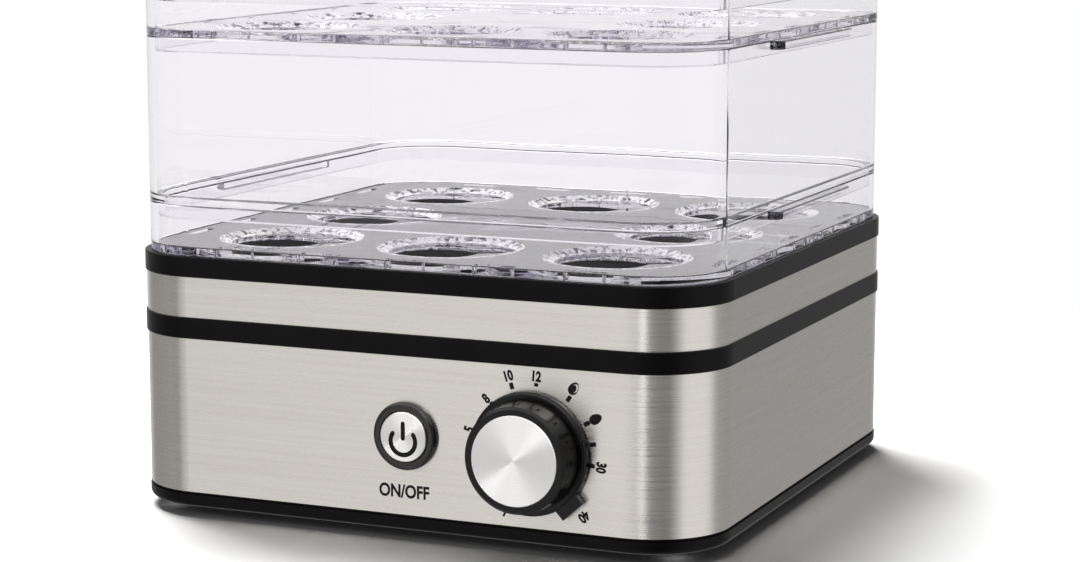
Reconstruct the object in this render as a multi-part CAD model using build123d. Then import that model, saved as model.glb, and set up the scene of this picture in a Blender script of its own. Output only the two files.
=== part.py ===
from build123d import *
import os
from math import atan2, degrees, sqrt

# Egg cooker in two tiers: a square steel-clad base with a water bowl, heater, timer dial and
# push button, and clear egg trays, a steam chamber and a lid that stack on it and lift off.
# Millimetres. +Z is up, -Y is the control side, and the origin is on the table under the middle.

# Footprint and cladding
body_side = 200.0             # outside of the steel, both ways
corner_radius = 25.0          # outside of the steel
least_radius = 3.0            # smallest corner of any inner outline
steel_wall = 0.8
trim_proud = 0.5              # black rings beyond the steel
trim_edge = 0.4               # soft edge of the black rings
fit_gap = 0.1                 # cladding to the parts inside it

# Heights from the table up
foot_height = 3.0
plinth_height = 4.2
shadow_gap = 0.8              # recess between plinth and steel
sleeve_height = 50.0
middle_trim_height = 6.9
upper_band_height = 12.9
top_rim_height = 6.6
tray_height = 16.0
chamber_height = 53.0
lid_height = 53.0

# Base plate, feet and the long screws that clamp the base together
plinth_proud = 0.3
plinth_round = 2.0
neck_inset = 0.4
floor_wall = 2.5
ledge_width = 3.4             # plinth top that carries the steel and the chassis
foot_radius = 7.0
foot_socket = 1.2
foot_edge = 1.0
foot_inset = 26.0
vent_length = 60.0
vent_width = 3.0
vent_pitch = 9.0
vent_count = 8
screw_radius = 2.0
screw_head_radius = 3.6
screw_head_height = 2.4
screw_hole_gap = 0.3
thread_gap = 0.05
boss_wall = 3.0
head_recess = 3.0
screw_engagement = 9.0        # screw length inside the top rim's bosses

# Chassis
chassis_wall = 2.0
rim_skirt = 11.8              # top rim's skirt below its black lip

# Clear tiers
clear_inset = 1.5             # outside of the clear walls, in from the steel
clear_wall = 2.2
spigot_depth = 4.7
spigot_wall = 2.0
nest_gap = 0.35               # spigot to the wall round it
shelf_height = 2.3            # floor of a tier above its seat
clear_edge = 0.5              # soft edges of the clear walls
lip_length = 76.0             # grip lips on the left and right sides
lip_depth = 4.0
lip_thick = 2.7
lip_round = 3.0

# Egg seats
plate_wall = 3.0
seat_pitch_x = 57.5
seat_pitch_y = 60.0
dish_radius = 23.3            # round dish that an egg stands in
dish_depth = 1.5
dish_slope = 2.8              # width of the dish's sloping side
hole_radius = 14.4            # keyhole in the dish's floor
hole_offset = 5.0             # from the dish's middle, away from the notch
hole_corner = 2.0             # hollow corner between hole and notch
notch_radius = 6.0
notch_reach = 20.8            # from the dish's middle
notch_angle = 30.0
slot_count = 5                # steam slots along each side
slot_pitch = 30.0
slot_length = 14.0
slot_width = 2.6
slot_margin = 1.0             # from the spigot's inner face

# Water bowl, seal and heater
ledge_wall = 2.2
ledge_gap = 0.5               # under the tray's spigot
flange_gap = 0.6              # spigot to the bowl's flange
seal_height = 0.8
seal_width = 2.4
seal_margin = 0.5
bowl_wall = 1.2
bowl_depth = 16.0
bowl_draft = 8.0
bowl_round = 4.0
well_gap = 0.5                # bowl to the rim's opening
rim_opening = 17.0            # rim's opening, in from the steel
pan_radius = 62.0
pan_wall = 2.0
stud_radius = 2.0
stud_inset = 12.6
stud_end = 1.5                # stud below its nut
nut_flats = 7.0
nut_height = 3.2
element_radius = 45.0
element_tube = 3.3
element_flat = 0.6            # depth of the flat brazed to the pan
element_gap_angle = 44.0
pin_radius = 2.0
pin_length = 12.0
thermostat_radius = 8.0
thermostat_height = 6.5
thermostat_ear = 13.0
thermostat_ear_width = 9.0
thermostat_plate = 1.0
fuse_radius = 2.0
fuse_length = 12.0
fuse_lead_radius = 0.5
fuse_lead = 8.0
fuse_offset = 25.0
clip_wall = 1.0
clip_width = 8.0
clip_length = 16.0

# Timer and dial
dial_x = 45.0
dial_height = 23.4            # above the steel's lower edge
timer_size = 36.0
timer_depth = 20.0
timer_round = 3.0
bush_radius = 5.0
bush_proud = 0.7              # beyond its nut
bush_gap = 0.2
timer_nut_flats = 14.0
timer_nut_height = 2.5
shaft_radius = 3.0
shaft_gap = 0.05
shaft_sink = 8.0              # shaft inside the timer
shaft_flat = 0.8
shaft_end_gap = 0.3
knob_gap = 0.5
knob_height = 12.8
knob_skirt_radius = 19.2
knob_skirt_height = 2.6
knob_skirt_round = 1.1
knob_root_radius = 17.4
knob_face_radius = 16.4
knob_face_edge = 0.8
knob_wall = 3.5
knob_web = 1.0                # between the nut space and the shaft's end
groove_count = 16
groove_radius = 0.3
groove_length = 2.2
groove_setback = 2.4          # from the knob's face
pointer_angle = 138.0         # clockwise from the top, where the dial reads its longest time
pointer_reach = 22.2
pointer_width = 8.5
pointer_height = 2.2
cap_radius = 13.9
cap_gap = 0.1
cap_thick = 0.9
cap_sink = 0.6
cap_edge = 0.2

# Push button
button_x = 3.0
button_height = 25.1          # above the steel's lower edge
bezel_radius = 10.75
bezel_proud = 2.0
bezel_round = 1.3
bezel_lip = 0.3               # soft inner edge
barrel_wall = 1.05
barrel_length = 9.5
barrel_gap = 0.2
button_radius = 7.85
button_gap = 0.3
button_proud = 2.4
button_thick = 4.4
button_edge = 0.4
button_travel = 2.0
stem_radius = 2.4
stem_gap = 0.06
stem_sink = 4.5               # stem inside the switch at rest
switch_size = 21.0
switch_depth = 14.0
switch_round = 1.5
blade_width = 4.8
blade_thick = 0.8
blade_length = 7.0
blade_pitch = 9.0
spring_radius = 4.6
spring_wire = 0.4
spring_turns = 5

# Mains inlet at the back, and the terminal block
gland_x = 60.0
gland_height = 14.0           # above the steel's lower edge
gland_radius = 6.0
gland_bore = 3.6
gland_flange_radius = 8.5
gland_flange = 3.0
gland_nose = 7.0
gland_edge = 1.0
gland_relief = 4.2            # wider bore from the inside up to the flange
gland_grip = 0.5              # where the narrow bore starts, out from the steel
gland_gap = 0.1
gland_collar_radius = 7.5
gland_collar = 2.0
gland_tail = 3.0
block_length = 38.0
block_width = 16.0
block_height = 12.0
block_hole_radius = 2.2
block_hole_pitch = 11.0
block_from_back = 22.0

# Lid top and handle
lid_roof = 2.5
lid_round = 9.0
vent_hole_radius = 1.2
vent_hole_count = 5
vent_hole_pitch = 12.0
vent_hole_inset = 30.0
handle_length = 104.0
handle_height = 22.0
handle_width = 18.0
handle_foot = 18.0
handle_bar = 9.0
handle_round = 9.0
handle_gap_round = 5.0
handle_edge = 2.0
handle_screw_radius = 1.7
handle_screw_head = 3.6
handle_screw_head_height = 2.0
handle_screw_depth = 9.0

# Levels and shared places
half = body_side / 2
plinth_z = foot_height
floor_z = plinth_z + floor_wall
neck_z = plinth_z + plinth_height
sleeve_z = neck_z + shadow_gap
middle_trim_z = sleeve_z + sleeve_height
upper_band_z = middle_trim_z + middle_trim_height
top_rim_z = upper_band_z + upper_band_height
chassis_top_z = top_rim_z - rim_skirt
stack_z = top_rim_z + top_rim_height
chamber_z = stack_z + tray_height
upper_tray_z = chamber_z + chamber_height
lid_z = upper_tray_z + tray_height
lid_top_z = lid_z + lid_height

chassis_inset = steel_wall + fit_gap
chassis_inner = chassis_inset + chassis_wall
clear_inner = clear_inset + clear_wall
spigot_outer = clear_inner + nest_gap
spigot_inner = spigot_outer + spigot_wall
ledge_z = stack_z - spigot_depth - ledge_gap
ledge_bottom_z = ledge_z - ledge_wall
flange_inset = spigot_inner + flange_gap
seal_inset = flange_inset + seal_margin
flange_z = ledge_z + seal_height
bowl_top_z = flange_z + bowl_wall
well_inset = rim_opening + well_gap
pan_bottom_z = bowl_top_z - bowl_depth - pan_wall
boss_radius = screw_radius + boss_wall
post_reach = corner_radius - chassis_inner - boss_radius + chassis_wall / 3
post_xy = half - corner_radius + post_reach / sqrt(2)
dial_z = sleeve_z + dial_height
button_z = sleeve_z + button_height
gland_z = sleeve_z + gland_height
barrel_radius = button_radius + button_gap + barrel_wall
handle_screw_x = handle_length / 2 - handle_foot / 2


def corners(offset_x, offset_y):
    return [(x, y) for x in (-offset_x, offset_x) for y in (-offset_y, offset_y)]


def outline(inset):
    side = body_side - 2 * inset
    return RectangleRounded(side, side, max(corner_radius - inset, least_radius))


def prism(inset, low, high):
    return Pos(0, 0, low) * extrude(outline(inset), high - low)


def band(outer_inset, inner_inset, low, high):
    return prism(outer_inset, low, high) - prism(inner_inset, low, high)


def rod(radius, low, high):
    return Pos(0, 0, low) * Cylinder(radius, high - low, align=(Align.CENTER, Align.CENTER, Align.MIN))


def block(length, width, low, high):
    return Pos(0, 0, low) * Box(length, width, high - low, align=(Align.CENTER, Align.CENTER, Align.MIN))


def hexagon_nut(flats, bore, low, high):
    hexagon = RegularPolygon(flats / 2, 6, major_radius=False)
    return Pos(0, 0, low) * extrude(hexagon, high - low) - rod(bore, low, high)


def ends(shape, side):
    return shape.edges().group_by(Axis.Z)[side]


# Pieces on a wall are built along +Z with zero at the outside of the steel, then turned to face out
def on_front(x, z):
    return Pos(x, -half, z) * Rot(90, 0, 0)


def on_back(x, z):
    return Pos(x, half, z) * Rot(-90, 0, 0)


# Base plate: a shallow black moulding with a rounded plinth, vents, foot sockets and screw bosses
def base_plate():
    plinth = prism(-plinth_proud, plinth_z, neck_z)
    plinth = fillet(ends(plinth, 0), plinth_round)
    plate = plinth + prism(neck_inset, neck_z, sleeve_z)
    plate -= prism(neck_inset + ledge_width, floor_z, sleeve_z)
    for x, y in corners(post_xy, post_xy):
        plate += Pos(x, y) * rod(boss_radius, floor_z, sleeve_z)
        plate -= Pos(x, y) * rod(screw_head_radius + screw_hole_gap, plinth_z, plinth_z + head_recess)
        plate -= Pos(x, y) * rod(screw_radius + screw_hole_gap, plinth_z, sleeve_z)
    for x, y in corners(half - foot_inset, half - foot_inset):
        plate -= Pos(x, y) * rod(foot_radius + fit_gap, plinth_z, plinth_z + foot_socket)
    vent = extrude(SlotOverall(vent_length, vent_width), floor_wall)
    for i in range(vent_count):
        plate -= Pos(0, (i - (vent_count - 1) / 2) * vent_pitch, plinth_z) * vent
    return plate


def rubber_feet():
    foot = rod(foot_radius, 0, foot_height + foot_socket)
    foot = chamfer(ends(foot, 0), foot_edge)
    return Compound(children=[Pos(x, y) * foot for x, y in corners(half - foot_inset, half - foot_inset)])


def tie_screws():
    seat = plinth_z + head_recess
    head = rod(screw_head_radius, seat - screw_head_height, seat)
    screw = head + rod(screw_radius, seat, chassis_top_z + screw_engagement)
    return Compound(children=[Pos(x, y) * screw for x, y in corners(post_xy, post_xy)])


# Cladding: steel sleeve and band, parted by the black rings
def lower_sleeve():
    sleeve = band(0, steel_wall, sleeve_z, middle_trim_z)
    sleeve -= on_front(dial_x, dial_z) * rod(bush_radius + bush_gap, -chassis_inset, 0)
    sleeve -= on_front(button_x, button_z) * rod(barrel_radius + barrel_gap, -chassis_inset, 0)
    sleeve -= on_back(gland_x, gland_z) * rod(gland_radius + gland_gap, -chassis_inset, 0)
    return sleeve


def middle_trim():
    ring = prism(-trim_proud, middle_trim_z, upper_band_z)
    ring = fillet(ends(ring, 0) + ends(ring, -1), trim_edge)
    return ring - prism(steel_wall, middle_trim_z, upper_band_z)


def upper_band():
    return band(0, steel_wall, upper_band_z, top_rim_z)


def chassis():
    shell = band(chassis_inset, chassis_inner, sleeve_z, chassis_top_z)
    for x, y in corners(post_xy, post_xy):
        shell += Pos(x, y) * rod(boss_radius, sleeve_z, chassis_top_z)
        shell -= Pos(x, y) * rod(screw_radius + screw_hole_gap, sleeve_z, chassis_top_z)
    shell -= on_front(dial_x, dial_z) * rod(bush_radius + bush_gap, -chassis_inner, 0)
    shell -= on_front(button_x, button_z) * rod(barrel_radius + barrel_gap, -chassis_inner, 0)
    shell -= on_back(gland_x, gland_z) * rod(gland_radius + gland_gap, -chassis_inner, 0)
    return shell


# Top rim: the upper black ring, with the ledge that carries the bowl and locates the first tray
def top_rim():
    rim = prism(-trim_proud, top_rim_z, stack_z)
    rim = fillet(ends(rim, 0) + ends(rim, -1), trim_edge)
    rim -= prism(clear_inner, top_rim_z, stack_z)
    rim += band(chassis_inset, rim_opening, ledge_bottom_z, ledge_z)
    rim += band(chassis_inset, chassis_inner, chassis_top_z, top_rim_z)
    for x, y in corners(post_xy, post_xy):
        rim += Pos(x, y) * rod(boss_radius, chassis_top_z, ledge_z)
        rim -= Pos(x, y) * rod(screw_radius + thread_gap, chassis_top_z, chassis_top_z + screw_engagement)
    for x, y in stud_places():
        rim -= Pos(x, y) * rod(stud_radius + screw_hole_gap, ledge_bottom_z, ledge_z)
    return rim


def stud_places():
    reach = half - stud_inset
    return [(reach, 0), (0, reach), (-reach, 0), (0, -reach)]


def bowl_seal():
    return band(seal_inset, seal_inset + seal_width, ledge_z, flange_z)


# Water bowl: a drawn dish with a heating pan in its floor and studs under its flange
def dish(inset, depth, corner):
    well = extrude(outline(inset), depth, dir=(0, 0, -1), taper=bowl_draft)
    return Pos(0, 0, bowl_top_z) * fillet(ends(well, 0), corner)


def water_bowl():
    bowl = prism(flange_inset, flange_z, bowl_top_z) + dish(well_inset, bowl_depth, bowl_round)
    bowl += rod(pan_radius, pan_bottom_z, bowl_top_z - bowl_depth)
    bowl -= dish(well_inset + bowl_wall, bowl_depth - bowl_wall, bowl_round - bowl_wall)
    bowl -= rod(pan_radius - pan_wall, bowl_top_z - bowl_depth, bowl_top_z)
    for x, y in stud_places():
        bowl += Pos(x, y) * rod(stud_radius, ledge_bottom_z - nut_height - stud_end, flange_z)
    return bowl


def bowl_nuts():
    nut = hexagon_nut(nut_flats, stud_radius + thread_gap, ledge_bottom_z - nut_height, ledge_bottom_z)
    return Compound(children=[Pos(x, y) * nut for x, y in stud_places()])


# Heater: a horseshoe tube with a flat brazed to the pan, open towards the back
def heating_element():
    middle_z = pan_bottom_z - element_tube + element_flat
    horseshoe = Torus(element_radius, element_tube, major_angle=360 - element_gap_angle)
    tube = Pos(0, 0, middle_z) * Rot(0, 0, 90 + element_gap_angle / 2) * horseshoe
    pin_angle = element_gap_angle / 2 + degrees(element_tube / element_radius)
    for turn in (90 - pin_angle, 90 + pin_angle):
        tube += Rot(0, 0, turn) * Pos(element_radius) * rod(pin_radius, middle_z - pin_length, middle_z)
    return tube - block(body_side, body_side, pan_bottom_z, pan_bottom_z + element_tube)


def thermostat():
    can = rod(thermostat_radius, pan_bottom_z - thermostat_height, pan_bottom_z)
    ear = extrude(SlotOverall(2 * thermostat_ear, thermostat_ear_width), -thermostat_plate)
    can += Pos(0, 0, pan_bottom_z) * ear
    for side in (-1, 1):
        blade = block(blade_width, blade_thick, -blade_length, 0)
        can += Pos(0, side * thermostat_radius / 2, pan_bottom_z - thermostat_height) * blade
    return can


def fuse_axis_z():
    return pan_bottom_z - clip_wall - fuse_radius


def fuse_clip():
    strap = Pos(0, -fuse_offset) * block(clip_width, clip_length, pan_bottom_z - clip_wall, pan_bottom_z)
    loop = Pos(0, -fuse_offset, fuse_axis_z()) * Rot(0, 90, 0)
    strap += loop * Cylinder(fuse_radius + thread_gap + clip_wall, clip_width)
    strap -= loop * Cylinder(fuse_radius + thread_gap, clip_width)
    return strap - block(body_side, body_side, pan_bottom_z, pan_bottom_z + clip_wall)


def thermal_fuse():
    fuse = Cylinder(fuse_radius, fuse_length) + Cylinder(fuse_lead_radius, fuse_length + 2 * fuse_lead)
    return Pos(0, -fuse_offset, fuse_axis_z()) * Rot(0, 90, 0) * fuse


# Timer behind the panel, with the dial that turns its shaft
bush_end = timer_nut_height + bush_proud
knob_space = bush_end + knob_web
shaft_end = knob_height - cap_sink - knob_web


def d_profile(radius):
    flat_y = radius - shaft_flat
    return Circle(radius) - Pos(0, flat_y) * Rectangle(2 * radius, radius, align=(Align.CENTER, Align.MIN))


def timer_body():
    case = block(timer_size, timer_size, -chassis_inner - timer_depth, -chassis_inner)
    case = fillet(case.edges().filter_by(Axis.Z), timer_round)
    case += rod(bush_radius, -chassis_inner, bush_end)
    case -= rod(shaft_radius + shaft_gap, -chassis_inner - shaft_sink - shaft_end_gap, bush_end)
    return on_front(dial_x, dial_z) * case


def timer_nut():
    nut = hexagon_nut(timer_nut_flats, bush_radius + thread_gap, 0, timer_nut_height)
    return on_front(dial_x, dial_z) * nut


def timer_shaft():
    shaft = rod(shaft_radius, -chassis_inner - shaft_sink, knob_space)
    shaft += Pos(0, 0, knob_space) * extrude(d_profile(shaft_radius), shaft_end - knob_space)
    return on_front(dial_x, dial_z) * shaft


def dial_knob():
    skirt = rod(knob_skirt_radius, knob_gap, knob_gap + knob_skirt_height)
    skirt = fillet(ends(skirt, -1), knob_skirt_round)
    grip = Pos(0, 0, knob_gap) * Cone(knob_root_radius, knob_face_radius, knob_height - knob_gap,
                                      align=(Align.CENTER, Align.CENTER, Align.MIN))
    grip = chamfer(ends(grip, -1), knob_face_edge)
    groove_middle = knob_height - groove_setback - groove_length / 2
    slope = (knob_root_radius - knob_face_radius) / (knob_height - knob_gap)
    groove_r = knob_root_radius - slope * (groove_middle - knob_gap)
    groove = Rot(0, -degrees(atan2(slope, 1)), 0) * Cylinder(groove_radius, groove_length)
    groove = Pos(groove_r, 0, groove_middle) * groove
    grip -= [Rot(0, 0, i * 360 / groove_count) * groove for i in range(groove_count)]
    pointer = block(pointer_reach, pointer_width, knob_gap, knob_gap + pointer_height)
    knob = grip + skirt + Rot(0, 0, 90 - pointer_angle) * Pos(pointer_reach / 2) * pointer
    knob -= rod(knob_root_radius - knob_wall, knob_gap, knob_space)
    knob -= rod(cap_radius + cap_gap, knob_height - cap_sink, knob_height)
    knob -= Pos(0, 0, knob_space) * extrude(d_profile(shaft_radius + thread_gap), shaft_end - knob_space)
    return on_front(dial_x, dial_z) * knob


def knob_cap():
    cap = rod(cap_radius, knob_height - cap_sink, knob_height - cap_sink + cap_thick)
    return on_front(dial_x, dial_z) * fillet(ends(cap, -1), cap_edge)


# Push button: a cap that slides in a bezel, its stem, return spring and switch
button_rear = button_proud - button_thick
switch_face = -barrel_length


def button_bezel():
    bezel = fillet(ends(rod(bezel_radius, 0, bezel_proud), -1), bezel_round)
    bezel += rod(barrel_radius, switch_face, 0)
    bezel -= rod(button_radius + button_gap, switch_face, bezel_proud)
    inner_edge = ends(bezel, -1).sort_by(SortBy.LENGTH)[0]
    return on_front(button_x, button_z) * fillet(inner_edge, bezel_lip)


def button_cap():
    cap = fillet(ends(rod(button_radius, button_rear, button_proud), -1), button_edge)
    return on_front(button_x, button_z) * cap


def button_stem():
    return on_front(button_x, button_z) * rod(stem_radius, switch_face - stem_sink, button_rear)


def button_spring():
    length = button_rear - switch_face - 2 * spring_wire
    path = Helix(length / spring_turns, length, spring_radius)
    wire = sweep(Plane(path @ 0, z_dir=path % 0) * Circle(spring_wire), path)
    return on_front(button_x, button_z) * Pos(0, 0, switch_face + spring_wire) * wire


def switch_body():
    case = block(switch_size, switch_size, switch_face - switch_depth, switch_face)
    case = fillet(case.edges().filter_by(Axis.Z), switch_round)
    case -= rod(stem_radius + stem_gap, switch_face - stem_sink - button_travel - stem_gap, switch_face)
    for side in (-1, 1):
        blade = block(blade_thick, blade_width, -blade_length, 0)
        case += Pos(side * blade_pitch / 2, 0, switch_face - switch_depth) * blade
    return on_front(button_x, button_z) * case


# Mains inlet: a bush through the back, and the block that its wires would reach
def cord_gland():
    inner_end = -chassis_inner - gland_collar - gland_tail
    outer_end = gland_flange + gland_nose
    flange = chamfer(ends(rod(gland_flange_radius, 0, gland_flange), -1), gland_edge)
    gland = flange + chamfer(ends(rod(gland_radius, inner_end, outer_end), -1), gland_edge)
    gland += rod(gland_collar_radius, -chassis_inner - gland_collar, -chassis_inner)
    gland -= rod(gland_relief, inner_end, gland_grip)
    gland -= rod(gland_bore, gland_grip, outer_end)
    return on_back(gland_x, gland_z) * gland


def terminal_block():
    body = block(block_length, block_width, 0, block_height)
    hole = Rot(90, 0, 0) * Cylinder(block_hole_radius, block_width)
    body -= [Pos(i * block_hole_pitch, 0, block_height / 2) * hole for i in (-1, 0, 1)]
    return Pos(0, half - block_from_back - block_width / 2, floor_z) * body


# A profile, drawn with X going in from the steel and Y going up, carried once round the body
def around(profile):
    path = outline(0).wire()
    inward = Vector(0, 0, 1).cross(path % 0)
    return sweep(Plane(path @ 0, x_dir=inward, z_dir=path % 0) * profile, path)


# Clear tiers: a wall on a shelf, a spigot that nests in the tier below, and grip lips near the top
def tier_wall(seat, height):
    profile = make_face(Polyline(
        (clear_inset, seat), (clear_inset, seat + height),
        (clear_inner, seat + height), (clear_inner, seat + shelf_height),
        (spigot_inner, seat + shelf_height), (spigot_inner, seat - spigot_depth),
        (spigot_outer, seat - spigot_depth), (spigot_outer, seat), close=True))
    seat_corner = Vector(spigot_outer, seat)
    return around(fillet(profile.vertices().sort_by_distance(seat_corner)[1:], clear_edge))


def grip_lips(top):
    span = 2 * (half - clear_inset + lip_depth)
    bar = Pos(0, 0, top - lip_thick) * extrude(RectangleRounded(span, lip_length, lip_round), lip_thick)
    bar = fillet(ends(bar, 0) + ends(bar, -1), clear_edge)
    return bar - prism(clear_inset + clear_wall / 2, top - lip_thick, top)


# Egg seats: a round dish with a keyhole in its floor
def keyhole():
    hole = Pos(-hole_offset) * Circle(hole_radius)
    notch_start = -hole_offset - notch_radius
    notch = SlotOverall(notch_reach - notch_start, 2 * notch_radius)
    shape = hole + Pos((notch_reach + notch_start) / 2) * notch
    shape = fillet(shape.vertices().sort_by(Axis.X)[:2], hole_corner)
    return Rot(0, 0, notch_angle) * shape


def seat_places():
    grid = [(x * seat_pitch_x, y * seat_pitch_y) for x in (-1, 0, 1) for y in (-1, 0, 1)]
    return [place for place in grid if place != (0, 0)]


def egg_tray(seat):
    top = seat + shelf_height
    tray = tier_wall(seat, tray_height) + grip_lips(seat + tray_height)
    tray += prism(spigot_outer + spigot_wall / 2, top - plate_wall, top)
    dish = Pos(0, 0, top - dish_depth) * Cone(dish_radius - dish_slope, dish_radius, dish_depth,
                                              align=(Align.CENTER, Align.CENTER, Align.MIN))
    dish += Pos(0, 0, top - plate_wall) * extrude(keyhole(), plate_wall)
    tray -= [Pos(x, y) * dish for x, y in seat_places()]
    slot_y = half - spigot_inner - slot_margin - slot_width / 2
    slot = Pos(0, slot_y, top - plate_wall) * extrude(SlotOverall(slot_length, slot_width), plate_wall)
    places = [(i - (slot_count - 1) / 2) * slot_pitch for i in range(slot_count)]
    tray -= [Rot(0, 0, turn) * Pos(x) * slot for turn in (0, 90, 180, 270) for x in places]
    return tray


def lower_egg_tray():
    return egg_tray(stack_z)


def steam_chamber():
    return tier_wall(chamber_z, chamber_height) + grip_lips(upper_tray_z)


def upper_egg_tray():
    return egg_tray(upper_tray_z)


# Lid: a clear cover with a rounded top edge, steam vents and a screwed-on handle
def lid():
    floor = lid_z + shelf_height
    cover = fillet(ends(prism(clear_inset, floor, lid_top_z), -1), lid_round)
    inside = prism(clear_inner, floor, lid_top_z - lid_roof)
    cover -= fillet(ends(inside, -1), lid_round - clear_wall)
    cover += tier_wall(lid_z, 2 * shelf_height)
    screw_hole = rod(handle_screw_radius + screw_hole_gap, lid_top_z - lid_roof, lid_top_z)
    vent_hole = rod(vent_hole_radius, lid_top_z - lid_roof, lid_top_z)
    for side in (-1, 1):
        cover -= Pos(side * handle_screw_x) * screw_hole
        for i in range(vent_hole_count):
            y = (i - (vent_hole_count - 1) / 2) * vent_hole_pitch
            cover -= Pos(side * (half - vent_hole_inset), y) * vent_hole
    return cover


def lid_handle():
    standing = (Align.CENTER, Align.MIN)
    arch = Rectangle(handle_length, handle_height, align=standing)
    arch = fillet(arch.vertices().group_by(Axis.Y)[-1], handle_round)
    gap = Rectangle(handle_length - 2 * handle_foot, handle_height - handle_bar, align=standing)
    gap = fillet(gap.vertices().group_by(Axis.Y)[-1], handle_gap_round)
    bar = extrude(Plane.XZ * (arch - gap), handle_width / 2, both=True)
    bar = fillet(bar.edges().group_by(Axis.Z)[-1], handle_edge)
    for x in (-1, 1):
        bar -= Pos(x * handle_screw_x) * rod(handle_screw_radius + thread_gap, 0, handle_screw_depth)
    return Pos(0, 0, lid_top_z) * bar


def handle_screws():
    seat = lid_top_z - lid_roof
    screw = rod(handle_screw_head, seat - handle_screw_head_height, seat)
    screw += rod(handle_screw_radius, seat, lid_top_z + handle_screw_depth)
    return Compound(children=[Pos(x * handle_screw_x) * screw for x in (-1, 1)])


pieces = [
    base_plate, rubber_feet, tie_screws, lower_sleeve, middle_trim, upper_band, chassis, top_rim,
    bowl_seal, water_bowl, bowl_nuts, heating_element, thermostat, fuse_clip, thermal_fuse,
    timer_body, timer_nut, timer_shaft, dial_knob, knob_cap,
    button_bezel, button_cap, button_stem, button_spring, switch_body, cord_gland, terminal_block,
    lower_egg_tray, steam_chamber, upper_egg_tray, lid, lid_handle, handle_screws,
]

os.makedirs("parts", exist_ok=True)
for piece in pieces:
    export_step(piece(), f"parts/{piece.__name__}.step")
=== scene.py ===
import bmesh
import bpy
import math
import numpy as np
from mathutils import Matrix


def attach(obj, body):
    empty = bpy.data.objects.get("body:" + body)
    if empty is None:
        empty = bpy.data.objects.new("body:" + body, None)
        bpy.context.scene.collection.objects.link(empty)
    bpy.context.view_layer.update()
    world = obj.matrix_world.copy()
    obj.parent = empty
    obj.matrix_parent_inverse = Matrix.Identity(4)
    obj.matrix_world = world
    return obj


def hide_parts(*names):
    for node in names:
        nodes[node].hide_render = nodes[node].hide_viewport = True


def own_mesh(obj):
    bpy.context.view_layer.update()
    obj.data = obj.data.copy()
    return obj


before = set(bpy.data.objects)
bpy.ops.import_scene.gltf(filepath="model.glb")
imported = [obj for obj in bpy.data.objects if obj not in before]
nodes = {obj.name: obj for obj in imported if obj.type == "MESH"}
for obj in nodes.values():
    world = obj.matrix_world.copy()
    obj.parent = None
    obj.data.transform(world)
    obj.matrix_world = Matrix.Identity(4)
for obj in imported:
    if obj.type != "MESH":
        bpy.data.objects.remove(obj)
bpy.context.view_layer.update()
mm = 0.001
print("frame loaded,", len(nodes), "nodes")


# helpers: colour, nodes, materials, meshes

def tint(code):  # sRGB hex to linear
    part = np.array([int(code[i:i + 2], 16) for i in (1, 3, 5)]) / 255
    linear = np.where(part <= 0.04045, part / 12.92, ((part + 0.055) / 1.055) ** 2.4)
    return (*linear.tolist(), 1.0)


def addNode(tree, kind, links=None, **settings):  # one node, its settings and what feeds it
    node = tree.nodes.new("ShaderNode" + kind)
    for name, value in settings.items():
        setattr(node, name, value)
    for socket, value in (links or {}).items():
        if isinstance(value, bpy.types.NodeSocket):
            tree.links.new(value, node.inputs[socket])
        else:
            node.inputs[socket].default_value = value
    return node


def newMaterial(name, **sockets):  # a Principled material with constants on its own sockets
    material = bpy.data.materials.new(name)
    material.use_nodes = True
    tree = material.node_tree
    shader = tree.nodes["Principled BSDF"]
    for socket, value in sockets.items():
        shader.inputs[socket.replace("_", " ")].default_value = value
    return material, tree, shader


def mottle(tree, stretch, detail=2.0, turn=(0, 0, 0)):
    # noise on Object coordinates, one cell per stretch in mm
    place = addNode(tree, "TexCoord").outputs["Object"]
    scale = [1 / (size * mm) for size in stretch]
    mapped = addNode(tree, "Mapping", {"Vector": place, "Rotation": turn, "Scale": scale}).outputs["Vector"]
    return addNode(tree, "TexNoise", {"Vector": mapped, "Scale": 1.0, "Detail": detail}).outputs["Fac"]


noiseSpan = (0.3, 0.7)  # most of a noise's values lie between these


def dress(tree, shader, look, grain, cloud=None, cloudSpan=noiseSpan):
    # grain gives the roughness and the relief, and cloud, or else grain, gives the place between the two shades
    dark, light = (tint(code) for code in look["shades"])
    smooth, rough = look["rough"]
    depth, strength = look["relief"]
    share = addNode(tree, "MapRange", {"Value": grain if cloud is None else cloud,
                                       "From Min": cloudSpan[0], "From Max": cloudSpan[1]})
    colour = addNode(tree, "Mix", {0: share.outputs["Result"], 6: dark, 7: light}, data_type="RGBA")
    sheen = addNode(tree, "MapRange", {"Value": grain, "From Min": noiseSpan[0], "From Max": noiseSpan[1],
                                       "To Min": smooth, "To Max": rough})
    relief = addNode(tree, "Bump", {"Height": grain, "Distance": depth * mm, "Strength": strength})
    tree.links.new(colour.outputs[2], shader.inputs["Base Color"])
    tree.links.new(sheen.outputs["Result"], shader.inputs["Roughness"])
    tree.links.new(relief.outputs["Normal"], shader.inputs["Normal"])


weldGap = 1e-7  # m; points nearer than this are one


def finishPiece(name, mesh, material, body):  # a closed mesh, facing outwards, riding on its body
    work = bmesh.new()
    work.from_mesh(mesh)
    bmesh.ops.remove_doubles(work, verts=work.verts, dist=weldGap)
    bmesh.ops.dissolve_degenerate(work, edges=work.edges, dist=weldGap)
    bmesh.ops.recalc_face_normals(work, faces=work.faces)
    work.to_mesh(mesh)
    work.free()
    mesh.materials.clear()
    mesh.materials.append(material)
    piece = bpy.data.objects.new(name, mesh)
    bpy.context.scene.collection.objects.link(piece)
    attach(piece, body)
    return piece


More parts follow.
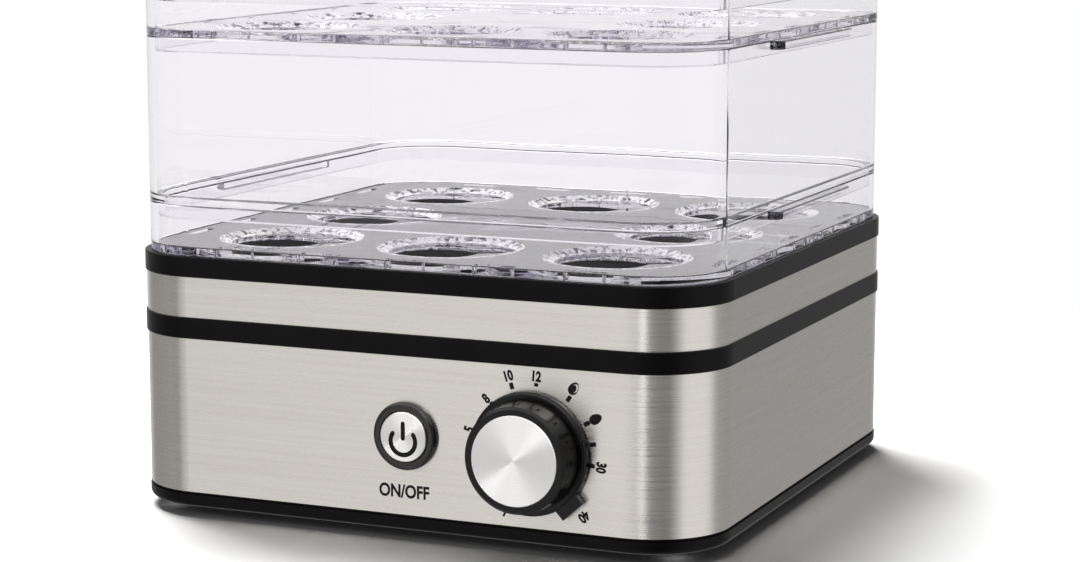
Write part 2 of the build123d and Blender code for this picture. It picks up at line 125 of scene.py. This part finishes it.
def gridMesh(name, points, material, body, closed=True):
    # points[row, column]: rows run from the first pole to the last, columns go round when closed
    rows, cols = points.shape[:2]
    index = np.arange(rows * cols).reshape(rows, cols)
    right = np.roll(index, -1, axis=1) if closed else index[:, 1:]
    left = index if closed else index[:, :-1]
    quads = np.stack([left[:-1], right[:-1], right[1:], left[1:]], axis=-1).reshape(-1, 4)
    mesh = bpy.data.meshes.new(name)
    mesh.from_pydata(points.reshape(-1, 3).tolist(), [], quads.tolist())
    mesh.validate()
    return finishPiece(name, mesh, material, body)


# materials; in each dictionary relief is a depth in mm and Bump's strength, and other sizes are in mm

steelGrain = {  # lines drawn coarser than the real 0.1 mm, so that they show
    "length": 30.0, "width": 0.35, "streak": (3, 4), "streakSpan": (0.7, 1.3), "anisotropy": 0.88,
    "shades": ("#D8D3CD", "#DFDBD5"), "rough": (0.25, 0.32), "relief": (0.01, 0.15)}
quarterTurn = 0.25  # turns the highlight across the brush lines


def brushedStainless():
    # stainless sheet, belt-brushed along the body: fine level lines, highlights drawn out upright
    material, tree, shader = newMaterial("stainless sheet, brushed", Metallic=1.0,
                                         Anisotropic=steelGrain["anisotropy"], Anisotropic_Rotation=quarterTurn)
    run, width = steelGrain["length"], steelGrain["width"]
    longer, wider = steelGrain["streak"]
    lines = mottle(tree, (run, run, width), detail=3.0)
    streaks = mottle(tree, (run * longer, run * longer, width * wider), detail=1.0)
    both = addNode(tree, "Math", {0: lines, 1: streaks}, operation="ADD").outputs[0]
    dress(tree, shader, steelGrain, lines, both, steelGrain["streakSpan"])
    tangent = addNode(tree, "Tangent", direction_type="RADIAL", axis="Z")
    tree.links.new(tangent.outputs["Tangent"], shader.inputs["Tangent"])
    return material


satinTrim = {"grain": 0.5, "cloud": 18.0, "ior": 1.54, "shine": 0.1,
             "shades": ("#0A080A", "#100E10"), "rough": (0.30, 0.38), "relief": (0.02, 0.5)}


def satinAbs():
    # black ABS from an eroded mould: soft sheen broken by a fine grain
    material, tree, shader = newMaterial("black ABS, satin moulded", IOR=satinTrim["ior"],
                                         Specular_IOR_Level=satinTrim["shine"])
    grain = mottle(tree, (satinTrim["grain"],) * 3, detail=3.0)
    dress(tree, shader, satinTrim, grain, mottle(tree, (satinTrim["cloud"],) * 3))
    return material


clearMoulding = {  # density per metre; wave is the slow swell of a moulded wall
    "tint": "#FBFAFC", "mirror": "#959595", "ior": 1.57, "roughness": 0.01,
    "absorb": "#C0BDCB", "density": 15.0, "wave": (22.0, 22.0, 30.0), "relief": (0.25, 0.4)}
seatFrost = {  # the rough slope round each egg seat, half the seats' pitch, and where seats end
    "ring": (20.0, 23.6), "half": (28.75, 30.0), "edge": 85.0, "middle": 28.0,
    "roughness": 0.4, "clear": 0.45, "grain": 2.2, "patch": (0.42, 0.52)}


def seatRing(tree):
    # 1 on the slope of every seat: distance to the nearest point of the seats' grid, without the grid's middle
    place = addNode(tree, "TexCoord").outputs["Object"]
    half = [v * mm for v in seatFrost["half"]]
    low, high = (v * mm for v in seatFrost["ring"])
    near = addNode(tree, "VectorMath", {0: place, 1: (*half, 1), 2: (-half[0], -half[1], -1)},
                   operation="WRAP").outputs[0]
    near = addNode(tree, "VectorMath", {0: near, 1: (1, 1, 0)}, operation="MULTIPLY").outputs[0]
    near = addNode(tree, "VectorMath", {0: near}, operation="LENGTH").outputs["Value"]
    ring = addNode(tree, "Math", {0: near, 1: (low + high) / 2, 2: (high - low) / 2},
                   operation="COMPARE").outputs[0]
    flat = addNode(tree, "VectorMath", {0: place, 1: (1, 1, 0)}, operation="MULTIPLY").outputs[0]
    far = addNode(tree, "VectorMath", {0: flat}, operation="LENGTH").outputs["Value"]
    far = addNode(tree, "Math", {0: far, 1: seatFrost["middle"] * mm}, operation="GREATER_THAN").outputs[0]
    side = addNode(tree, "VectorMath", {0: flat}, operation="ABSOLUTE").outputs[0]
    side = addNode(tree, "SeparateXYZ", {"Vector": side}).outputs
    side = addNode(tree, "Math", {0: side["X"], 1: side["Y"]}, operation="MAXIMUM").outputs[0]
    side = addNode(tree, "Math", {0: side, 1: seatFrost["edge"] * mm}, operation="LESS_THAN").outputs[0]
    ring = addNode(tree, "Math", {0: ring, 1: far}, operation="MULTIPLY").outputs[0]
    return addNode(tree, "Math", {0: ring, 1: side}, operation="MULTIPLY").outputs[0]


def clearSan(name, frosted=False):
    # styrene acrylonitrile from a polished mould: water clear, faintly violet where seen edge-on;
    # frosted: the mould was etched in patches on the slopes of the seats, which look mottled white there
    material, tree, shader = newMaterial(
        name, Base_Color=tint(clearMoulding["tint"]), IOR=clearMoulding["ior"], Transmission_Weight=1.0,
        Specular_Tint=tint(clearMoulding["mirror"]), Roughness=clearMoulding["roughness"])
    height = mottle(tree, clearMoulding["wave"], detail=1.0)
    if frosted:
        start, end = seatFrost["patch"]
        patch = addNode(tree, "MapRange", {"Value": mottle(tree, (seatFrost["grain"],) * 3),
                                           "From Min": start, "From Max": end}).outputs["Result"]
        frost = addNode(tree, "Math", {0: patch, 1: seatRing(tree)}, operation="MULTIPLY").outputs[0]
        for socket, polished, etched in (("Roughness", clearMoulding["roughness"], seatFrost["roughness"]),
                                         ("Transmission Weight", 1.0, seatFrost["clear"])):
            level = addNode(tree, "MapRange", {"Value": frost, "To Min": polished, "To Max": etched})
            tree.links.new(level.outputs["Result"], shader.inputs[socket])
        height = addNode(tree, "Math", {0: height, 1: frost}, operation="ADD").outputs[0]
    depth, strength = clearMoulding["relief"]
    relief = addNode(tree, "Bump", {"Height": height, "Distance": depth * mm, "Strength": strength})
    tree.links.new(relief.outputs["Normal"], shader.inputs["Normal"])
    inside = addNode(tree, "VolumeAbsorption", {"Color": tint(clearMoulding["absorb"]),
                                                "Density": clearMoulding["density"]})
    tree.links.new(inside.outputs["Volume"], tree.nodes["Material Output"].inputs["Volume"])
    return material


glossWipe = {  # turn in radians
    "size": (2.2, 2.2, 9.0), "turn": (0.4, 0.3, 0.2), "ior": 1.54, "relief": (0.01, 0.3)}


def glossAbs(name, shades, rough, shine):
    # ABS from a polished mould: deep gloss with faint wipe marks
    material, tree, shader = newMaterial(name, IOR=glossWipe["ior"], Specular_IOR_Level=shine)
    wipe = mottle(tree, glossWipe["size"], detail=3.0, turn=glossWipe["turn"])
    dress(tree, shader, {**glossWipe, "shades": shades, "rough": rough}, wipe)
    return material


spunFace = {"groove": 0.45, "anisotropy": 0.92, "shades": ("#F8F7F5", "#FDFCFB"), "rough": (0.31, 0.33),
            "relief": (0.002, 0.15)}  # grooves drawn coarser than the real ones, so that they show


def spunAluminium(name, centre):
    # aluminium disc faced on a lathe: rings about its middle and fan-shaped highlights
    material, tree, shader = newMaterial(name, Metallic=1.0, Anisotropic=spunFace["anisotropy"],
                                         Anisotropic_Rotation=quarterTurn)
    place = addNode(tree, "TexCoord").outputs["Object"]
    flat = addNode(tree, "VectorMath", {0: place, 1: [-v * mm for v in centre]}, operation="ADD").outputs[0]
    flat = addNode(tree, "VectorMath", {0: flat, 1: (1, 0, 1)}, operation="MULTIPLY").outputs[0]
    radius = addNode(tree, "VectorMath", {0: flat}, operation="LENGTH").outputs["Value"]
    rings = addNode(tree, "TexNoise", {"W": radius, "Scale": 1 / (spunFace["groove"] * mm), "Detail": 2.0},
                    noise_dimensions="1D").outputs["Fac"]
    dress(tree, shader, spunFace, rings)
    tangent = addNode(tree, "Tangent", direction_type="RADIAL", axis="Y")
    tree.links.new(tangent.outputs["Tangent"], shader.inputs["Tangent"])
    return material


plainRelief = (0.02, 0.5)


def plainFinish(name, shades, rough, size, metal=0.0, shine=0.5):
    # a cast, moulded, plated or printed surface: two near shades and a grain of the given size
    material, tree, shader = newMaterial(name, Metallic=metal, Specular_IOR_Level=shine)
    grain = mottle(tree, (size,) * 3, detail=3.0)
    dress(tree, shader, {"shades": shades, "rough": rough, "relief": plainRelief}, grain)
    return material


dialFace = {"centre": (45.0, -100.0, 31.4)}  # mm
buttonFace = {"centre": (3.0, -100.0, 33.1), "proud": 2.4}

finishes = [
    (brushedStainless(), ["lower_sleeve", "upper_band"]),
    (satinAbs(), ["base_plate", "middle_trim", "top_rim"]),
    (clearSan("clear SAN, polished"), ["steam_chamber", "lid"]),
    (clearSan("clear SAN, seats etched", frosted=True), ["lower_egg_tray", "upper_egg_tray"]),
    (glossAbs("black ABS, polished", ("#050405", "#0A090A"), (0.22, 0.30), 0.25), ["dial_knob", "lid_handle"]),
    (glossAbs("smoke grey ABS, polished", ("#24211E", "#322E2A"), (0.08, 0.14), 0.45), ["button_bezel"]),
    (spunAluminium("aluminium, spun dial face", dialFace["centre"]), ["knob_cap"]),
    (spunAluminium("aluminium, spun button", buttonFace["centre"]), ["button_cap"]),
    (plainFinish("non-stick coating, sprayed", ("#070708", "#0C0C0D"), (0.70, 0.80), 0.6, shine=0.0),
     ["water_bowl"]),
    (plainFinish("black rubber, moulded", ("#171717", "#1F1F1F"), (0.70, 0.85), 0.8),
     ["rubber_feet", "cord_gland"]),
    (plainFinish("silicone seal, moulded", ("#B9B8B6", "#C6C5C3"), (0.55, 0.65), 2.0), ["bowl_seal"]),
    (plainFinish("zinc plated steel", ("#B9BABA", "#D0D0CE"), (0.22, 0.34), 1.5, metal=1.0),
     ["tie_screws", "bowl_nuts", "timer_nut", "handle_screws", "fuse_clip", "button_spring", "timer_shaft"]),
    (plainFinish("aluminium, cast heater", ("#A2A2A4", "#BDBDBE"), (0.38, 0.52), 1.2, metal=1.0),
     ["heating_element"]),
    (plainFinish("phenolic, moulded", ("#CFCABD", "#DBD7CB"), (0.50, 0.62), 1.0),
     ["timer_body", "switch_body", "terminal_block", "thermostat"]),
    (plainFinish("tinned steel, drawn", ("#C4C0B4", "#D8D4C8"), (0.25, 0.35), 1.0, metal=1.0), ["thermal_fuse"]),
    (plainFinish("grey PBT, moulded", ("#3C3C40", "#47474B"), (0.50, 0.60), 0.8), ["chassis"]),
    (plainFinish("white acetal, moulded", ("#D9D8D3", "#E4E3DF"), (0.40, 0.50), 0.8), ["button_stem"]),
]
for material, names in finishes:
    for name in names:
        nodes[name].data.materials.clear()
        nodes[name].data.materials.append(material)
for name in ("lower_egg_tray", "steam_chamber", "upper_egg_tray", "lid"):
    nodes[name].visible_shadow = False  # the lamps shine through the clear walls
ink = plainFinish("black print, pad printed", ("#121011", "#1A1718"), (0.42, 0.55), 0.3, shine=0.2)
print("finishes:", len(finishes) + 1)


# the return spring behind the button: a copy of its own, riding on the base, in place of the hidden one


def returnSpring():
    spring = nodes["button_spring"].data
    piece = finishPiece("returnSpring", spring.copy(), spring.materials[0], "base")
    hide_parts("button_spring")
    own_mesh(piece)


returnSpring()


# print on the panel: pieces are drawn flat, +x right and +y up, then set on the steel's face

def onFront(points, centre, lift):  # (x, y, height) in mm on a face that looks along -Y
    x, y, height = np.moveaxis(points, -1, 0)
    return np.stack([centre[0] + x, centre[1] - lift - height, centre[2] + y], axis=-1) * mm


def turned(points, angle):  # clockwise, in degrees
    c, s = math.cos(math.radians(angle)), math.sin(math.radians(angle))
    x, y, height = np.moveaxis(points, -1, 0)
    return np.stack([x * c + y * s, y * c - x * s, height], axis=-1)


inkPrint = {  # mm; sunk a little so that it meets the steel; crown and edge round off a patch's rim, as shares
    "thick": 0.06, "sink": 0.02, "crown": 0.94, "edge": 0.7, "steps": 72, "letterSteps": 6}


def inkPatch(outline):
    # P(s, t) = share(s) * outline(t) at height(s): from the middle of the back, over the edge,
    # to the middle of the front
    share = np.array([0, 1, 1, inkPrint["crown"], 0])[:, None, None]
    level = np.array([0, 0, inkPrint["edge"], 1, 1])[:, None]
    height = level * inkPrint["thick"] + np.zeros(len(outline))
    middle = outline.mean(0)
    return np.concatenate([middle + share * (outline - middle), height[..., None]], axis=-1)


def inkBand(outer, inner):
    # P(s, t) = the way round a flat hoop: outer back, outer front, inner front, inner back and home
    height = np.array([0, 1, 1, 0, 0])[:, None] * inkPrint["thick"] + np.zeros(len(outer))
    flat = np.stack([outer, outer, inner, inner, outer])
    return np.concatenate([flat, height[..., None]], axis=-1)


def around():  # angles of an outline's points
    return np.linspace(0, 2 * math.pi, inkPrint["steps"], endpoint=False)


def roundedBar(width, length, power):
    # superellipse |x/a|^n + |y/b|^n = 1: a larger power gives sharper corners
    t = around()
    reach = (np.abs(np.cos(t)) ** power + np.abs(np.sin(t)) ** power) ** (-1 / power)
    return np.stack([width / 2 * reach * np.cos(t), length / 2 * reach * np.sin(t)], axis=-1)


def eggLine(width, length, taper):
    # an ellipse whose width shrinks towards the top: x = a cos t (1 - k sin t)
    t = around()
    return np.stack([width / 2 * np.cos(t) * (1 - taper * np.sin(t)), length / 2 * np.sin(t)], axis=-1)


def textPiece(name, words, capHeight, narrow, weight, place, body):
    # built-in letters made a mesh, middle at zero, capHeight mm tall, then put where place says
    letters = bpy.data.curves.new(name, "FONT")
    letters.body = words
    letters.align_x, letters.align_y = "CENTER", "CENTER"
    letters.size = 1.0
    letters.offset = weight
    letters.extrude = inkPrint["thick"]
    letters.resolution_u = inkPrint["letterSteps"]
    holder = bpy.data.objects.new(name, letters)
    bpy.context.scene.collection.objects.link(holder)
    mesh = bpy.data.meshes.new_from_object(holder.evaluated_get(bpy.context.evaluated_depsgraph_get()))
    bpy.data.objects.remove(holder)
    flat = np.empty(len(mesh.vertices) * 3, np.float32)
    mesh.vertices.foreach_get("co", flat)
    flat = flat.reshape(-1, 3).astype(float)
    low, high = flat.min(0), flat.max(0)
    grow = capHeight / (high[1] - low[1])
    flat = (flat - (low + high) / 2) * [grow * narrow, grow, 1]
    flat[:, 2] = np.where(flat[:, 2] > 0, inkPrint["thick"], 0)
    mesh.vertices.foreach_set("co", place(flat).astype(np.float32).ravel())
    return finishPiece(name, mesh, ink, body)


dialMarks = {  # degrees clockwise from the top and mm from the dial's middle; a tick's width and length follow
    "height": 3.4, "narrow": 0.78, "weight": 0.05, "tickCorner": 8,
    "numerals": [("5", -75.0, 21.4), ("8", -43.7, 21.6), ("10", -17.5, 24.4), ("12", 4.7, 23.8),
                 ("30", 96.4, 23.1), ("40", 136.0, 25.2)],
    "ticks": [(-75.0, 18.6, 1.35, 2.1), (-42.5, 19.1, 1.35, 1.4), (-17.5, 21.1, 1.35, 2.1),
              (4.7, 21.2, 1.35, 1.1), (35.0, 21.6, 1.35, 2.1), (60.0, 21.1, 1.35, 2.1),
              (78.0, 20.7, 1.35, 2.1), (96.4, 20.0, 1.35, 2.1), (138.0, 20.7, 1.35, 2.1),
              (204.0, 21.5, 0.7, 2.1)],
}
eggSigns = {  # mm; hollow and yolk are the shell's line made smaller and moved
    "shell": (3.1, 4.3), "taper": 0.18, "soft": (33.7, 25.2), "hard": (60.0, 24.4),
    "hollow": 0.66, "hollowAt": (0.28, 0.22), "yolk": 0.58, "yolkAt": (0.02, -0.10), "yolkThick": 0.9}


def onDial(points, angle, radius):
    shifted = points + [0, radius, 0]
    return onFront(turned(shifted, angle), dialFace["centre"], -inkPrint["sink"])


def dialPrint():
    for i, (angle, radius, width, length) in enumerate(dialMarks["ticks"]):
        bar = roundedBar(width, length, dialMarks["tickCorner"])
        gridMesh(f"dialTick{i}", onDial(inkPatch(bar), angle, radius), ink, "base")
    for words, angle, radius in dialMarks["numerals"]:
        textPiece("dialNumeral" + words, words, dialMarks["height"], dialMarks["narrow"], dialMarks["weight"],
                  lambda p, a=angle, r=radius: onDial(p, a, r), "base")
    shell = eggLine(*eggSigns["shell"], eggSigns["taper"])
    gridMesh("hardEggSign", onDial(inkPatch(shell), *eggSigns["hard"]), ink, "base")
    hollow = shell * eggSigns["hollow"] + eggSigns["hollowAt"]  # the pale crescent lies between it and the yolk
    yolk = inkPatch(shell * eggSigns["yolk"] + eggSigns["yolkAt"]) * [1, 1, eggSigns["yolkThick"]]
    gridMesh("softEggSign", onDial(inkBand(shell, hollow), *eggSigns["soft"]), ink, "base")
    gridMesh("softEggYolk", onDial(yolk, *eggSigns["soft"]), ink, "base")


switchWords = {  # mm
    "words": "ON/OFF", "middle": (2.15, -100.0, 15.45), "height": 4.3, "narrow": 0.84, "weight": 0.03}


def switchPrint():
    textPiece("switchWords", switchWords["words"], switchWords["height"], switchWords["narrow"],
              switchWords["weight"], lambda p: onFront(p, switchWords["middle"], -inkPrint["sink"]), "base")


powerSign = {  # mm, degrees
    "radius": 4.2, "stroke": 1.45, "open": 56.0, "bar": 5.9, "barMiddle": 3.3, "barCorner": 5, "down": 1.4}


def powerPrint():
    # arc: a ribbon about the middle whose half width closes as a half circle at each end; bar: a rounded stroke
    radius, half = powerSign["radius"], powerSign["stroke"] / 2
    first = math.radians(powerSign["open"])
    length = radius * (2 * math.pi - 2 * first) + 2 * half
    ease = (1 - np.cos(np.linspace(0, math.pi, inkPrint["steps"]))) / 2
    along = ease * length
    fromEnd = np.minimum(np.minimum(along, length - along), half)
    reach = np.sqrt(np.maximum(half ** 2 - (half - fromEnd) ** 2, 0))
    angle = first + (along - half) / radius
    outer, inner = (np.stack([r * np.sin(angle), r * np.cos(angle)], axis=-1)
                    for r in (radius + reach, radius - reach))
    lift = buttonFace["proud"] - inkPrint["sink"]
    down = [0, -powerSign["down"], 0]
    arc = inkBand(outer, inner) + down
    gridMesh("powerArc", onFront(arc, buttonFace["centre"], lift), ink, "button", closed=False)
    bar = inkPatch(roundedBar(powerSign["stroke"], powerSign["bar"], powerSign["barCorner"]))
    bar = bar + [0, powerSign["barMiddle"], 0] + down
    gridMesh("powerBar", onFront(bar, buttonFace["centre"], lift), ink, "button")


dialPrint()
switchPrint()
powerPrint()
print("panel print made")


# camera, floor, light

cameraPlace = {"at": (360.15, -818.19, 207.24), "turn": 23.491, "down": 8.927,
               "lens": 88.387, "sensor": 36.0}  # mm, degrees


def makeCamera():
    data = bpy.data.cameras.new("camera")
    data.sensor_width = cameraPlace["sensor"]
    data.lens = cameraPlace["lens"]
    camera = bpy.data.objects.new("camera", data)
    camera.location = [v * mm for v in cameraPlace["at"]]
    camera.rotation_euler = (math.radians(90 - cameraPlace["down"]), 0, math.radians(cameraPlace["turn"]))
    bpy.context.scene.collection.objects.link(camera)
    bpy.context.scene.camera = camera


studio = {  # angles in degrees, up from the horizon or round from the front with right plus; lamps in m and W
    "ambient": 0.05, "overhead": 2.0, "overheadFrom": (22.0, 40.0),
    "throughClear": {"up": (4.2, 6.5), "level": (1.0, 0.80)},  # what polished faces inside the clear walls mirror
    "strip": {"round": (2.0, 10.0), "up": (6.0, 40.0), "level": 7.0},  # a strip light beside the camera
    "panels": [  # what polished surfaces see all round
        (-180, 0.60), (-148, 0.70), (-128, 0.66), (-112, 0.34), (-60, 0.38), (-46, 0.32), (-38, 0.78),
        (-26, 0.88), (-19, 0.92), (-3, 0.66), (3, 0.45), (15, 0.26), (44, 0.18), (56, 0.50), (66, 0.90),
        (104, 0.92), (122, 0.42), (160, 0.36), (180, 0.50)],
    "lamps": [("backLamp", (-0.50, 0.42, 0.95), 0.7, 25.0), ("frontLamp", (-0.9, -1.1, 0.9), 0.9, 1.0)],
    "aim": (0.0, 0.0, 0.1),
}


def makeWorld():
    # white to the eye and through clear plastic, upright soft boxes and flags to glossy surfaces, low grey to
    # matt ones; a ray that passes a clear wall and is mirrored meets a plain bright room in place of the boxes
    world = bpy.data.worlds.new("studio")
    bpy.context.scene.world = world
    world.use_nodes = True
    tree = world.node_tree
    tree.nodes.clear()
    ray = addNode(tree, "LightPath").outputs
    way = addNode(tree, "SeparateXYZ", {"Vector": addNode(tree, "TexCoord").outputs["Generated"]}).outputs
    toward = addNode(tree, "Math", {0: way["Y"], 1: -1.0}, operation="MULTIPLY").outputs[0]
    bearing = addNode(tree, "Math", {0: way["X"], 1: toward}, operation="ARCTAN2").outputs[0]
    share = addNode(tree, "MapRange", {"Value": bearing, "From Min": -math.pi, "From Max": math.pi})
    ramp = addNode(tree, "ValToRGB", {"Fac": share.outputs["Result"]})
    stops = ramp.color_ramp.elements
    for i, (degrees, level) in enumerate(studio["panels"]):
        where = (degrees + 180) / 360
        stop = stops[i] if i < 2 else stops.new(where)  # a new ramp has two stops
        stop.position = where
        stop.color = (level, level, level, 1)

    strip, through = studio["strip"], studio["throughClear"]
    ceiling, rise, glance = ([math.sin(math.radians(v)) for v in ends]
                             for ends in (studio["overheadFrom"], strip["up"], through["up"]))
    reach = [math.radians(v) for v in strip["round"]]
    ambient, overhead, bright = ((v, v, v, 1) for v in (studio["ambient"], studio["overhead"], strip["level"]))
    up = addNode(tree, "MapRange", {"Value": way["Z"], "From Min": ceiling[0], "From Max": ceiling[1]})
    boxes = addNode(tree, "Mix", {0: up.outputs["Result"], 6: ramp.outputs["Color"], 7: overhead},
                    data_type="RGBA").outputs[2]
    beside, between = (
        addNode(tree, "Math", {0: source, 1: sum(ends) / 2, 2: (ends[1] - ends[0]) / 2}, operation="COMPARE")
        for source, ends in ((bearing, reach), (way["Z"], rise)))
    lit = addNode(tree, "Math", {0: beside.outputs[0], 1: between.outputs[0]}, operation="MULTIPLY").outputs[0]
    boxes = addNode(tree, "Mix", {0: lit, 6: boxes, 7: bright}, data_type="RGBA").outputs[2]
    mirrored = addNode(tree, "MapRange", {"Value": way["Z"], "From Min": glance[0], "From Max": glance[1],
                                          "To Min": through["level"][0], "To Max": through["level"][1]})
    mirrored = mirrored.outputs["Result"]
    passed, turnedBack = (addNode(tree, "Math", {0: ray[depth], 1: 0.5}, operation="GREATER_THAN").outputs[0]
                          for depth in ("Transmission Depth", "Glossy Depth"))  # once or more
    gloss = addNode(tree, "Mix", {0: passed, 6: boxes, 7: mirrored}, data_type="RGBA").outputs[2]
    solid = addNode(tree, "Mix", {0: ray["Is Glossy Ray"], 6: ambient, 7: gloss}, data_type="RGBA").outputs[2]
    white = addNode(tree, "Mix", {0: turnedBack, 6: (1, 1, 1, 1), 7: mirrored}, data_type="RGBA").outputs[2]
    clear = addNode(tree, "Math", {0: ray["Is Camera Ray"], 1: ray["Is Transmission Ray"]},
                    operation="MAXIMUM").outputs[0]
    colour = addNode(tree, "Mix", {0: clear, 6: solid, 7: white}, data_type="RGBA").outputs[2]
    back = addNode(tree, "Background", {"Color": colour})
    addNode(tree, "OutputWorld", {"Surface": back.outputs["Background"]})


def makeLamps():
    for name, at, size, power in studio["lamps"]:
        data = bpy.data.lights.new(name, "AREA")
        data.shape, data.size, data.energy = "SQUARE", size, power
        lamp = bpy.data.objects.new(name, data)
        lamp.location = at
        x, y, z = np.array(studio["aim"]) - at
        lamp.rotation_euler = (math.atan2(math.hypot(x, y), -z), 0, math.atan2(y, x) - math.pi / 2)
        lamp.visible_glossy = False
        lamp.visible_transmission = False
        bpy.context.scene.collection.objects.link(lamp)


floorSheet = {  # m; over the fade lit paper turns to plain white, and seen lifts the lit paper to the eye
    "reach": 4.0, "colour": 0.80, "seen": 1.2, "fade": (0.20, 0.42)}


def makeFloor():
    # white paper sweep: lit near the object, where the shadow shows, and plain white to the eye further out
    material, tree, shader = newMaterial("white paper sweep", Roughness=1.0, Specular_IOR_Level=0.0)
    ray = addNode(tree, "LightPath").outputs
    clear = addNode(tree, "Math", {0: ray["Is Camera Ray"], 1: ray["Transmission Depth"]},
                    operation="MAXIMUM", use_clamp=True).outputs[0]
    dull, seen = ((v, v, v, 1) for v in (floorSheet["colour"], floorSheet["seen"]))
    colour = addNode(tree, "Mix", {0: clear, 6: dull, 7: seen}, data_type="RGBA").outputs[2]
    tree.links.new(colour, shader.inputs["Base Color"])
    place = addNode(tree, "TexCoord").outputs["Object"]
    far = addNode(tree, "VectorMath", {0: place}, operation="LENGTH").outputs["Value"]
    start, end = floorSheet["fade"]
    white = addNode(tree, "MapRange", {"Value": far, "From Min": start, "From Max": end}).outputs["Result"]
    white = addNode(tree, "Math", {0: white, 1: clear}, operation="MULTIPLY").outputs[0]
    glow = addNode(tree, "Emission").outputs["Emission"]
    both = addNode(tree, "MixShader", {0: white, 1: shader.outputs["BSDF"], 2: glow})
    tree.links.new(both.outputs["Shader"], tree.nodes["Material Output"].inputs["Surface"])
    reach = floorSheet["reach"]
    corners = [(-reach, -reach, 0), (reach, -reach, 0), (reach, reach, 0), (-reach, reach, 0)]
    mesh = bpy.data.meshes.new("floor")
    mesh.from_pydata(corners, [], [(0, 1, 2, 3)])
    mesh.materials.append(material)
    floor = bpy.data.objects.new("floor", mesh)
    floor.visible_glossy = False
    bpy.context.scene.collection.objects.link(floor)


lightBounces = {  # enough for the stacked clear walls
    "max_bounces": 40, "transmission_bounces": 40, "glossy_bounces": 32}

makeCamera()
makeWorld()
makeLamps()
makeFloor()
bpy.context.scene.view_settings.view_transform = "Standard"
for name, count in lightBounces.items():
    setattr(bpy.context.scene.cycles, name, count)
print("camera, floor and light set")
